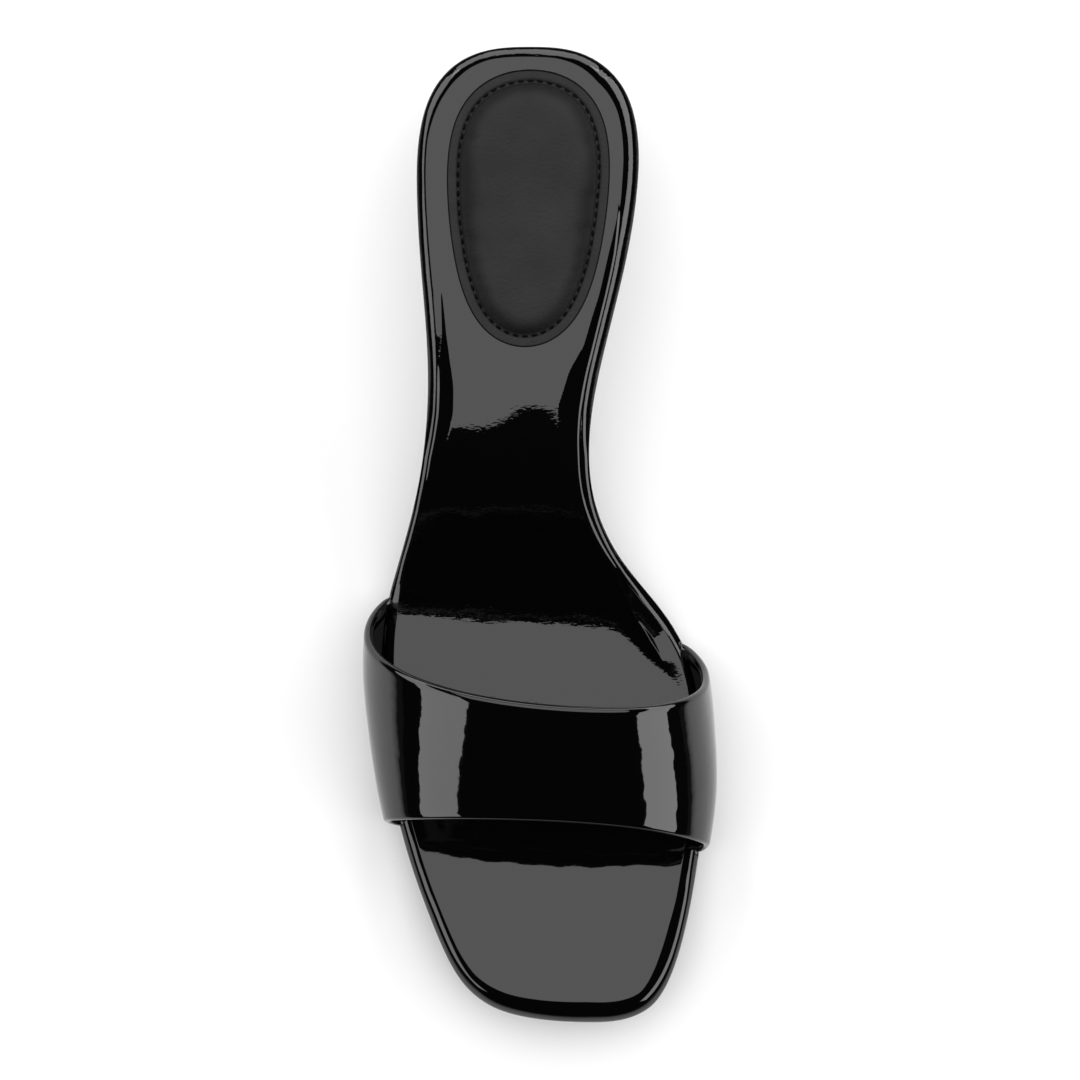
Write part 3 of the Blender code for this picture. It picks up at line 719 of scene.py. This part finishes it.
# Edge of the insole for each ring row: distance from the edge, and how far the skin lies below the padding
# there. Its slope falls in straight lines from knot to knot, with the shoe's own slope there taken off, the
# band adds its own, and the height is their running sum.
def insoleEdge(ring):
    row = np.minimum(ring, 2 * lastRow - ring)

    def bySide(name):
        unit = 1 if name == "slope" else 0.001
        sides = [np.interp(row, side["row"], side[name]) * unit for side in (lateralEdge, medialEdge)]
        return np.where(ring > lastRow, sides[1], sides[0])

    steep, floor, out, corner = (
        np.interp(row, edgeStarts["row"], edgeStarts[name]) for name in list(edgeStarts)[1:]
    )
    dark, strip, rim, start, end, slant = (bySide(name) for name in list(lateralEdge)[1:])
    soft = insole["soft"]
    knots = [0 * ring, np.minimum(floor / 1000, dark * insole["floorShare"]), dark, strip, rim, rim + soft]
    stops = [*knots, start - soft, start + soft, end - soft / 2, end + soft]
    stops = np.maximum.accumulate(np.concatenate(stops, axis=1), axis=1)
    spans = [
        stops[:, i, None] + (stops[:, i + 1] - stops[:, i])[:, None] * np.arange(1, count + 1) / count
        for i, count in enumerate(insole["edgeSteps"])
    ]
    inset = np.concatenate([0 * ring, *spans], axis=1)
    outer, inner = (
        insoleOver(*np.moveaxis(edgeAt(ring, depth + 0 * ring), -1, 0)) for depth in (0, insole["corner"])
    )
    climb = (outer - inner) / insole["corner"]
    first, second, *last = insole["turnSlopes"]
    slopes = [steep, np.minimum(steep, first), second, *(value * corner for value in last)]
    slopes = [*(value + climb for value in slopes), 0 * ring]
    slope = 0 * inset
    for i in range(len(knots) - 1):
        way = np.clip((inset - knots[i]) / (knots[i + 1] - knots[i]), 0, 1)
        slope = slope + (slopes[i] - slopes[i + 1]) * (1 - way)
    slope = slope + slant * (softStep(inset - start, 2 * soft) - softStep(inset - end, 2 * soft))
    hasLip = np.clip(1 - (start - rim) / soft, 0, 1) * np.clip((end - start) / soft - 1, 0, 1)
    slope = slope + insole["lipSlope"] * hasLip * np.exp(-(((inset - start) / insole["lipWide"]) ** 2))
    rise = np.cumsum(np.diff(inset, axis=1) * (slope[:, 1:] + slope[:, :-1]) / 2, axis=1)
    return inset - out / 1000, rise[:, -1:] - np.concatenate([0 * ring, rise], axis=1)


# Profile carried round the whole edge: from the spine below, out to a small corner, up the side, over the
# edge and back to the spine. The strap's feet press in the side, and their tabs lie in a recess below.
def insoleMesh():
    half = evenRows(0, lastRow, insole["rows"])
    ring = np.concatenate([half, 2 * lastRow - half[-2:0:-1]])[:, None]
    edgeInset, edgeDrop = insoleEdge(ring)
    wallInset = insole["corner"] * insoleWall["corners"] + edgeInset[:, :1]
    wallShare = insoleWall["share"] + 0 * ring
    inset = np.concatenate([wallInset, edgeInset], axis=1)
    share = np.concatenate([wallShare, 1 + 0 * edgeInset], axis=1)
    drop = np.concatenate([edgeDrop[:, :1] + 0 * wallInset, edgeDrop], axis=1)
    lift = share * (1 - drop / insole["thick"])
    y = edgeAt(ring)[..., 1]
    press = insole["notch"] * np.clip(1 - lift / insole["notchTop"], 0, 1)
    press = press * footWindow(ring, y, lift, insole["sideRamp"])
    press = press * (inset < insole["corner"] * insole["notchReach"])
    skirt = edgeAt(ring + 0 * inset, inset + press)
    spine = spineAt(ring[:, 0], *insole["spineRows"])
    fill = np.linspace(0, 1, insole["fillSteps"] + 1)[None, 1:, None]
    under = skirt[:, :1] * (1 - fill) + spine[:, None] * fill
    over = skirt[:, -1:] * (1 - fill) + spine[:, None] * fill
    plan = np.concatenate([under[:, ::-1], skirt, over], axis=1)
    flat = np.zeros_like(under[..., 0])
    share = np.concatenate([flat, share, flat + 1], axis=1)
    drop = np.concatenate([flat, drop, flat], axis=1)
    fromEdge = np.concatenate([flat + 1, inset, flat + 1], axis=1)
    recess = (strap["wall"] + 2 * shoe["gap"]) * footWindow(ring, y, 0.0, insole["recessRamp"])
    within = insole["corner"] * insole["recessReach"] - fromEdge
    low = insoleUnder(plan[..., 1]) + recess * softStep(within, insole["recessSoft"])
    top = insoleOver(plan[..., 0], plan[..., 1]) - drop
    height = low + (top - low) * share
    return gridMesh("insole", np.concatenate([plan, height[..., None]], axis=-1), closed=True)


addPiece(insoleMesh(), insolePatent, "insole")

# Heel sock: an egg-shaped pad of leather over foam, stitched down round its rim
sock = {
    "middle": (-0.0030, 0.0804), "halfLength": 0.0334, "halfWidth": 0.01936,
    "egg": 0.16,  # how much wider the back end is
    "square": 0.25,  # how much fuller than an oval both ends are
    "lean": 0.0007,  # the back end lies this far to the medial side
    "rim": 0.0009, "edgeRound": 0.0004, "cutWide": 0.00033,
    "seamInset": 0.0027, "seamDeep": 0.00045, "seamWide": 0.0009,
    "crown": 0.0023, "foam": 2.2,  # height inside the seam, and how flat the foam keeps its middle
    "shadeBelow": 0.42, "shadeWide": 0.36,  # share of the crown below which the skin is painted darker, as painted shade on its slopes
    "points": 280, "rings": 40, "rimSteps": 8, "flatSteps": 13,
    "spread": 0.8,  # below 1 the rings lie closer together at the seam
}
# Cloth of the sock: drawn ten times as large, held down outside the seam and blown up from below
swell = {
    "spacing": 0.0010, "margins": (1.4, 1.1),  # of the grid, in half widths and half lengths
    "enlarge": 10.0, "pressure": 4.0, "slack": -0.001, "quality": 6, "frames": 20, "seamPoints": 600,
}
stitch = {
    "pitch": 0.0023, "length": 0.0014, "thick": 0.00085, "sink": 0.00030,
    "around": 8, "steps": 10, "seamPoints": 4000,
}


# Outline of the pad about its middle: an oval, wider at the back, moved inwards square to itself
def sockEdge(turn, inset=0.0):
    back, side = np.cos(turn), np.sin(turn)
    full = 1 + sock["egg"] * back + sock["square"] * back**2
    x = sock["halfWidth"] * side * full + sock["lean"] * back
    place = np.stack([x, sock["halfLength"] * back], axis=-1)
    grow = -sock["egg"] * side - 2 * sock["square"] * back * side
    slopeX = sock["halfWidth"] * (back * full + side * grow) - sock["lean"] * side
    inward = np.stack([-sock["halfLength"] * side, -slopeX], axis=-1)
    inward /= np.linalg.norm(inward, axis=-1, keepdims=True)
    return np.array(sock["middle"]) + place + inward * np.asarray(inset)[..., None]


# Swollen skin inside the seam, 0 to 1, by Blender's cloth on a square grid of points. Points outside the
# seam are pinned: x beyond either side of the seam at that y. Returns the grid's lines and its heights.
def swollenSkin():
    seam = sockEdge(np.linspace(0, np.pi, swell["seamPoints"]), sock["seamInset"])
    far = sockEdge(np.linspace(2 * np.pi, np.pi, swell["seamPoints"]), sock["seamInset"])
    half = np.array([sock["halfWidth"], sock["halfLength"]]) * swell["margins"]
    reach = swell["spacing"] * np.ceil(half / swell["spacing"])
    lines = [
        np.arange(middle - r, middle + r + swell["spacing"] / 2, swell["spacing"])
        for middle, r in zip(sock["middle"], reach)
    ]
    x, y = np.meshgrid(*lines, indexing="ij")
    right, left = (np.interp(-y, -side[:, 1], side[:, 0]) for side in (seam, far))
    pinned = (x > right) | (x < left) | (y > seam[0, 1]) | (y < seam[-1, 1])
    mesh = gridMesh("sock cloth", np.stack([x, y, 0 * x], axis=-1) * swell["enlarge"])
    cloth = bpy.data.objects.new("sock cloth", mesh)
    bpy.context.scene.collection.objects.link(cloth)
    sewn = cloth.vertex_groups.new(name="sewn")
    sewn.add(np.flatnonzero(pinned.ravel()).tolist(), 1.0, "REPLACE")
    settings = cloth.modifiers.new("swell", "CLOTH").settings
    settings.quality = swell["quality"]
    settings.vertex_group_mass = "sewn"
    settings.shrink_min = swell["slack"]
    settings.use_pressure = True
    settings.uniform_pressure_force = swell["pressure"]
    settings.effector_weights.gravity = 0
    for frameNumber in range(1, swell["frames"] + 1):
        bpy.context.scene.frame_set(frameNumber)
    evaluated = cloth.evaluated_get(bpy.context.evaluated_depsgraph_get())
    points = np.empty(x.size * 3)
    evaluated.data.vertices.foreach_get("co", points)
    bpy.data.objects.remove(cloth)
    bpy.data.meshes.remove(mesh)
    bpy.context.scene.frame_set(1)
    height = np.abs(points.reshape(*x.shape, 3)[..., 2]) / swell["enlarge"]
    print("sock swollen by", round(height.max() * 1000, 2), "mm")
    return lines, height / height.max()


# Value of a grid at any point: the mean of its four neighbours, weighted by nearness
def gridValue(lines, values, plan):
    place = [
        np.clip((plan[..., axis] - line[0]) / swell["spacing"], 0, len(line) - 1.001)  # short of the last
        for axis, line in enumerate(lines)
    ]
    i, j = (p.astype(int) for p in place)
    u, v = place[0] - i, place[1] - j
    near = values[i, j] * (1 - v) + values[i, j + 1] * v
    return near * (1 - u) + (values[i + 1, j] * (1 - v) + values[i + 1, j + 1] * v) * u


# Rings from the pad's middle below, round its rounded rim, over the seam and up to its middle above. The
# seam pulls a groove deep * e^(-(2 d / wide)^2), and the foam inside it stands up by
# crown * (1 - (1 - swollen)^foam).
def sockMesh():
    turn = np.linspace(0, 2 * np.pi, sock["points"] + 1)
    rim = np.linspace(0, np.pi, sock["rimSteps"] + 1)
    edgeInset = sock["edgeRound"] * (1 - np.sin(rim))
    edgeLift = sock["rim"] * (1 - np.cos(rim)) / 2
    flatInset = np.linspace(sock["edgeRound"], sock["seamInset"], sock["flatSteps"] + 1)[1:]
    share = np.linspace(1, 0, sock["rings"] + 1)[1:] ** sock["spread"]
    insets = np.concatenate([edgeInset, flatInset])
    ringsOut = np.stack([sockEdge(turn, inset + 0 * turn) for inset in insets])
    middle = np.array(sock["middle"])
    dome = middle + (ringsOut[-1] - middle) * share[:, None, None]
    below = middle + (ringsOut[0] - middle) * np.array([0, 0.5])[:, None, None]
    plan = np.concatenate([below, ringsOut, dome])
    fromSeam = np.concatenate([flatInset - sock["seamInset"], (1 - share) * sock["halfWidth"]])
    groove = sock["seamDeep"] * np.exp(-((fromSeam / sock["seamWide"] * 2) ** 2))
    lift = np.concatenate([[0, 0], edgeLift, sock["rim"] - groove])[:, None]
    swollen = gridValue(*swollenSkin(), dome)
    flat = 0 * plan[:-len(dome), :, 0]
    foam = np.concatenate([flat, sock["crown"] * (1 - (1 - swollen) ** sock["foam"])])
    height = insoleOver(plan[..., 0], plan[..., 1]) + shoe["gap"] + lift + foam
    # cut marks the pad's edge, which the material paints near black as painted shade and makes duller
    cut = np.concatenate([[1, 1], (edgeInset < sock["cutWide"]) | (edgeLift < sock["rim"] / 2), 0 * fromSeam])
    # Painted shade: drop marks the slopes below that share of the crown, which the material paints darker
    drop = np.concatenate([flat, softStep(sock["shadeBelow"] - swollen, sock["shadeWide"])])
    marks = {"cut": np.repeat(cut[:, None], sock["points"], axis=1), "drop": drop[:, :-1]}
    grid = np.concatenate([plan, height[..., None]], axis=-1)[:, :-1]
    return gridMesh("heel_sock", grid, ringed=True, marks=marks)


heelSock = addPiece(sockMesh(), sockSkin, "heel_pad")


# One short bent tube for each stitch, evenly spaced along the seam. Its radius is thick / 2 * (1 - t^4)^0.5
# and its ends dip into the leather with t^2.
def stitchMesh():
    turn = np.linspace(0, 2 * np.pi, stitch["seamPoints"] + 1)
    seam = sockEdge(turn, sock["seamInset"])
    way = np.concatenate([[0], np.cumsum(np.linalg.norm(np.diff(seam, axis=0), axis=1))])
    count = int(round(way[-1] / stitch["pitch"]))
    t = np.linspace(-1, 1, stitch["steps"] + 1)
    where = (np.arange(count)[:, None] / count * way[-1] + t * stitch["length"] / 2) % way[-1]
    x, y = (np.interp(where, way, seam[:, axis]) for axis in (0, 1))
    base = insoleOver(x, y) + shoe["gap"] + sock["rim"] - sock["seamDeep"] - stitch["sink"]
    heart = np.stack([x, y, base + stitch["thick"] * (0.5 - 0.5 * t**2)], axis=-1)
    ahead = np.gradient(heart, axis=1)
    ahead /= np.linalg.norm(ahead, axis=-1, keepdims=True)
    side = np.cross(ahead, [0, 0, 1.0])
    side /= np.linalg.norm(side, axis=-1, keepdims=True)
    up = np.cross(side, ahead)
    spin = np.linspace(0, 2 * np.pi, stitch["around"], endpoint=False)[:, None]
    radius = (stitch["thick"] / 2 * np.sqrt(1 - t**4))[:, None, None]
    tube = heart[:, :, None] + radius * (side[:, :, None] * np.cos(spin) + up[:, :, None] * np.sin(spin))
    index = np.arange(tube[..., 0].size).reshape(tube.shape[:3])
    onward = np.roll(index, -1, axis=2)
    quads = np.stack([index[:, :-1], index[:, 1:], onward[:, 1:], onward[:, :-1]], axis=-1)
    print("stitches:", count)
    return smoothMesh("sock_stitches", tube, quads)


addPiece(stitchMesh(), thread)

# Covered heel and the rubber top piece under it
tip = {
    "height": 0.0056, "middle": (-0.0030, 0.0963), "half": (0.0110, 0.0105), "square": 2.6,
    "edge": 0.0006, "edgeDip": 0.3, "softEdge": 0.0003,
}
heel = {"sweepBack": 1.35, "sweepSide": 2.10, "softEdge": 0.0005, "rows": 90, "breastSteps": 40, "steps": 70}


# Plan of the heel seat: along the lateral edge to the back, up the medial edge and across the breast, with
# the middle line that closes it
def heelRing():
    rows = evenRows(0, breastRow, heel["rows"])[::-1]
    lateral, medial = edgeAt(rows), edgeAt(2 * lastRow - rows)
    middle = (lateral + medial) / 2
    across = np.linspace(0, 1, heel["breastSteps"] + 1)[1:-1, None]
    breast = medial[0] * (1 - across) + lateral[0] * across
    ring = np.concatenate([lateral, medial[-2::-1], breast])
    spine = np.concatenate([middle, middle[-2::-1], np.broadcast_to(middle[0], breast.shape)])
    limit = shoe["length"] / 2 - shoe["breast"] + shoe["gap"] / 2
    ring[:, 1] = np.maximum(ring[:, 1], limit)
    spine[:, 1] = np.maximum(spine[:, 1], limit)
    return ring, spine


# Rounded square |x|^p + |y|^p = 1 round the tip's middle, its points facing those of the seat
def tipRing(seat, inset=0.0):
    away = (seat - np.array(tip["middle"])) / np.array(tip["half"])
    away /= np.linalg.norm(away, axis=1, keepdims=True)
    size = (np.abs(away) ** tip["square"]).sum(axis=1) ** (-1 / tip["square"])
    return np.array(tip["middle"]) + away * size[:, None] * (np.array(tip["half"]) - inset)


# Rings from seat to tip: plan = tip + (seat - tip) * (1 - down)^sweep, more hollow at sides and breast
def heelMesh():
    seat, spine = heelRing()
    low = tipRing(seat)
    back = np.clip((low[:, 1] - tip["middle"][1]) / tip["half"][1], 0, 1)
    sweep = heel["sweepSide"] + (heel["sweepBack"] - heel["sweepSide"]) * back
    down = np.linspace(0, 1, heel["steps"] + 1)[:, None]
    plan = low + (seat - low) * ((1 - down) ** sweep)[..., None]
    top = outsoleOver(seat[:, 1])
    foot = tip["height"] + shoe["gap"]
    rings = np.concatenate([plan, (top + (foot - top) * down)[..., None]], axis=-1)
    lid = np.concatenate([spine, outsoleOver(spine[:, 1:])], axis=1)
    floor = np.array([*tip["middle"], foot]) * np.ones((len(seat), 1))
    return gridMesh("heel", np.concatenate([[lid], rings, [floor]]), ringed=True)


# Straight walls of the rounded square, with a softened lower edge
def tipMesh():
    seat = heelRing()[0]
    middle = np.array([*tip["middle"], 0]) * np.ones((len(seat), 1))
    dip = tip["edge"] * tip["edgeDip"]
    levels = ((tip["edge"], 0), (dip, dip), (0, tip["edge"]), (0, tip["height"]))
    rings = [np.concatenate([tipRing(seat, i), np.full((len(seat), 1), z)], axis=1) for i, z in levels]
    return gridMesh("heel_tip", np.stack([middle, *rings, middle + [0, 0, tip["height"]]]), ringed=True)


softenEdges(addPiece(heelMesh(), strapPatent, "heel"), heel["softEdge"])
softenEdges(addPiece(tipMesh(), rubber, "heel_tip"), tip["softEdge"])

# Camera straight above the shoe, toe at the bottom of the picture
view = {"height": 1.5, "lens": 200.3, "sensor": 36.0}
camera = bpy.data.objects.new("camera", bpy.data.cameras.new("camera"))
camera.data.lens, camera.data.sensor_width = view["lens"], view["sensor"]
camera.location = (0, 0, view["height"])
bpy.context.scene.collection.objects.link(camera)
bpy.context.scene.camera = camera

# Studio lights: azimuth from +X, polar from straight up, in degrees. tall runs up the light, wide along the
# floor, and slide moves it towards the heel.
lights = [
    # name, azimuth, polar, distance, tall, wide, radiance, slide
    ("overhead", 0, 0, 1.20, 1.60, 1.40, 2.2, 0.2),
    ("lateral strip", 180, 61.7, 1.19, 0.59, 2.4, 3.2, -0.15),
    ("medial strip", 0, 61.7, 1.19, 0.59, 2.4, 3.8, -0.15),
    ("heel strip", 90, 62, 1.19, 0.56, 2.1, 3.2, 0),
]


# Area light facing the shoe: way = (sin p cos a, sin p sin a, cos p), power = pi * area * radiance
def addLight(name, azimuth, polar, distance, tall, wide, radiance, slide):
    a, p = np.radians(azimuth), np.radians(polar)
    data = bpy.data.lights.new(name, "AREA")
    data.shape, data.size, data.size_y = "RECTANGLE", tall, wide
    data.energy = np.pi * tall * wide * radiance
    light = bpy.data.objects.new(name, data)
    way = np.array([np.sin(p) * np.cos(a), np.sin(p) * np.sin(a), np.cos(p)])
    light.location = distance * way + [0, slide, 0]
    light.rotation_euler = (0, p, a)
    light.visible_camera = False
    bpy.context.scene.collection.objects.link(light)


for light in lights:
    addLight(*light)

# Paper with a painted pool of light: pale round the shoe, dark further out. A pale world only the camera sees
stage = {
    "paper": [(0.17, "#e4e4e4"), (0.34, "#202020")],  # painted pool of light: colours by distance from the shoe's middle
    "shader": {"Roughness": 0.9, "Specular IOR Level": 0.1}, "half": 3.0, "drop": 0.0002,
    "pale": (1.0, 1.0, 1.0, 1.0), "dim": (0.01, 0.01, 0.01, 1.0),
}


def addStage():
    corner = stage["half"] * np.array([[[-1, -1], [-1, 1]], [[1, -1], [1, 1]]])
    height = np.full((2, 2, 1), -stage["drop"])
    mesh = gridMesh("floor", np.concatenate([corner, height], axis=-1))
    material, tree, shader, place = newMaterial("white paper, painted pool of light", stage["shader"])
    away = addNode(tree, "VectorMath", {"operation": "LENGTH"}, {"Vector": place})
    # Painted pool of light: the paper's colour falls off with distance from the shoe's middle
    paintedPool = addNode(tree, "ValToRGB", {"ramp": stage["paper"]}, {"Fac": away.outputs["Value"]})
    tree.links.new(paintedPool.outputs["Color"], shader.inputs["Base Color"])
    mesh.materials.append(material)
    floor = bpy.data.objects.new("floor", mesh)
    bpy.context.scene.collection.objects.link(floor)
    world = bpy.data.worlds.new("studio")
    world.use_nodes = True
    bpy.context.scene.world = world
    tree = world.node_tree
    pale = addNode(tree, "Background", {"Color": stage["pale"]})
    dim = addNode(tree, "Background", {"Color": stage["dim"]})
    ray = addNode(tree, "LightPath")
    mix = addNode(tree, "MixShader", links={"Fac": ray.outputs["Is Camera Ray"]})
    tree.links.new(dim.outputs[0], mix.inputs[1])
    tree.links.new(pale.outputs[0], mix.inputs[2])
    tree.links.new(mix.outputs[0], tree.nodes["World Output"].inputs["Surface"])


addStage()
bpy.context.scene.view_settings.view_transform = "Standard"
print("camera, lights and floor set")
